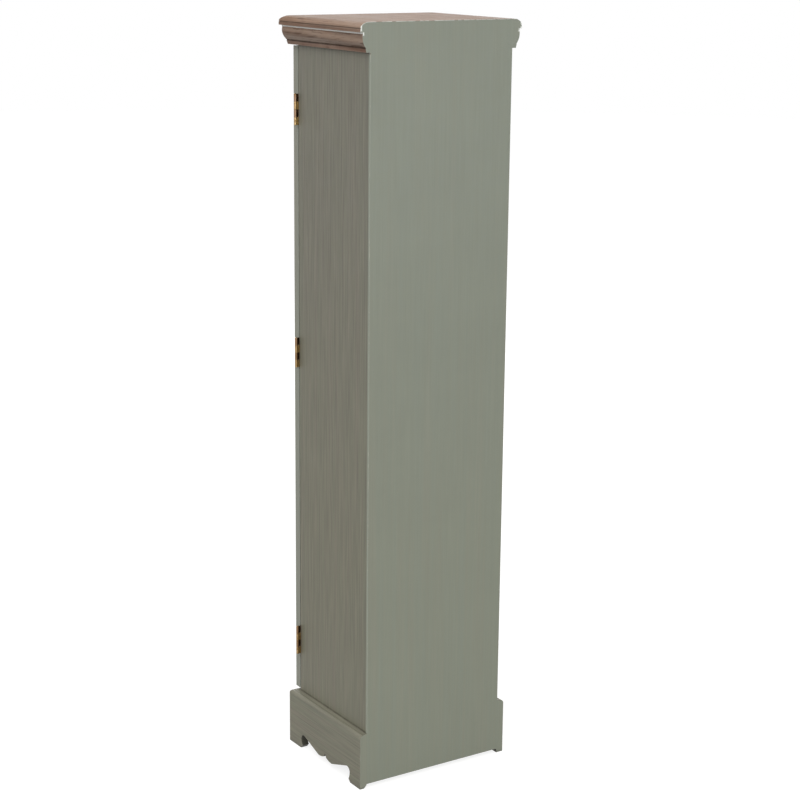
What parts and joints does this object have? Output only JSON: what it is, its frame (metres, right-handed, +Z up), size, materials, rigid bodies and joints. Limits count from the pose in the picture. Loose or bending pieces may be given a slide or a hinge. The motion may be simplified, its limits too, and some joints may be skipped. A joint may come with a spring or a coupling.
{
  "type": "display cabinet",
  "caption": "Tall slim display cabinet on a scalloped plinth, with a moulded crown and a glazed door on butt hinges over fixed shelves.",
  "frame": {"origin": "on the floor, under the middle of the cabinet's outline", "axes": "+Z up, the door faces -Y, +X is on the hinge side, to the right of someone who faces the door"},
  "size_m": [0.36, 0.3, 1.5],
  "materials": {
    "painted_wood": "satin sage green paint with faint brush streaks",
    "stained_wood": "washed brown stain with worn pale edges",
    "plain_wood": "planed softwood",
    "aged_brass": "aged, satin",
    "clear_glass": "clear",
    "zinc_steel": "zinc plated",
    "catch_plastic": "matte brown",
    "magnet_iron": "dark",
    "bumper_rubber": "soft"
  },
  "bodies": {
    "cabinet": {"back_panel": "painted_wood", "back_panel_nails": "painted_wood", "bottom_board": "painted_wood", "catch_case": "catch_plastic", "catch_magnet": "magnet_iron", "catch_screws": "zinc_steel", "ceiling_board": "painted_wood", "crown_moulding_front": "stained_wood", "crown_moulding_left": "stained_wood", "crown_moulding_right": "stained_wood", "crown_rail": "painted_wood", "hinge_frame_leaf_bottom": "aged_brass", "hinge_frame_leaf_middle": "aged_brass", "hinge_frame_leaf_top": "aged_brass", "hinge_frame_screws": "aged_brass", "hinge_pin_bottom": "aged_brass", "hinge_pin_middle": "aged_brass", "hinge_pin_top": "aged_brass", "plinth_corner_blocks": "plain_wood", "plinth_front": "painted_wood", "plinth_left": "painted_wood", "plinth_right": "painted_wood", "plinth_screws": "zinc_steel", "shelf_lower": "painted_wood", "shelf_middle": "painted_wood", "shelf_upper": "painted_wood", "side_panel_left": "painted_wood", "side_panel_right": "painted_wood", "top_board": "stained_wood", "top_board_screws": "zinc_steel", "top_cleat_left": "plain_wood", "top_cleat_right": "plain_wood"},
    "door": {"catch_strike_plate": "zinc_steel", "door_bar_lower": "painted_wood", "door_bar_middle": "painted_wood", "door_bar_upper": "painted_wood", "door_bumpers": "bumper_rubber", "door_glass": "clear_glass", "door_knob": "aged_brass", "door_rail_bottom": "painted_wood", "door_rail_top": "painted_wood", "door_stile_hinge": "painted_wood", "door_stile_latch": "painted_wood", "glazing_bead_bottom": "painted_wood", "glazing_bead_left": "painted_wood", "glazing_bead_right": "painted_wood", "glazing_bead_top": "painted_wood", "glazing_pins": "zinc_steel", "hinge_door_leaf_bottom": "aged_brass", "hinge_door_leaf_middle": "aged_brass", "hinge_door_leaf_top": "aged_brass", "hinge_door_screws": "aged_brass", "knob_backplate": "aged_brass", "knob_screw": "zinc_steel", "strike_screw": "zinc_steel"}
  },
  "joints": [
    {"name": "door_swing", "type": "hinge", "parent": "cabinet", "child": "door", "pos_m": [0.1655, -0.1121, 0.782], "axis": [0, 0, 1], "range_deg": [0, 180]}
  ]
}
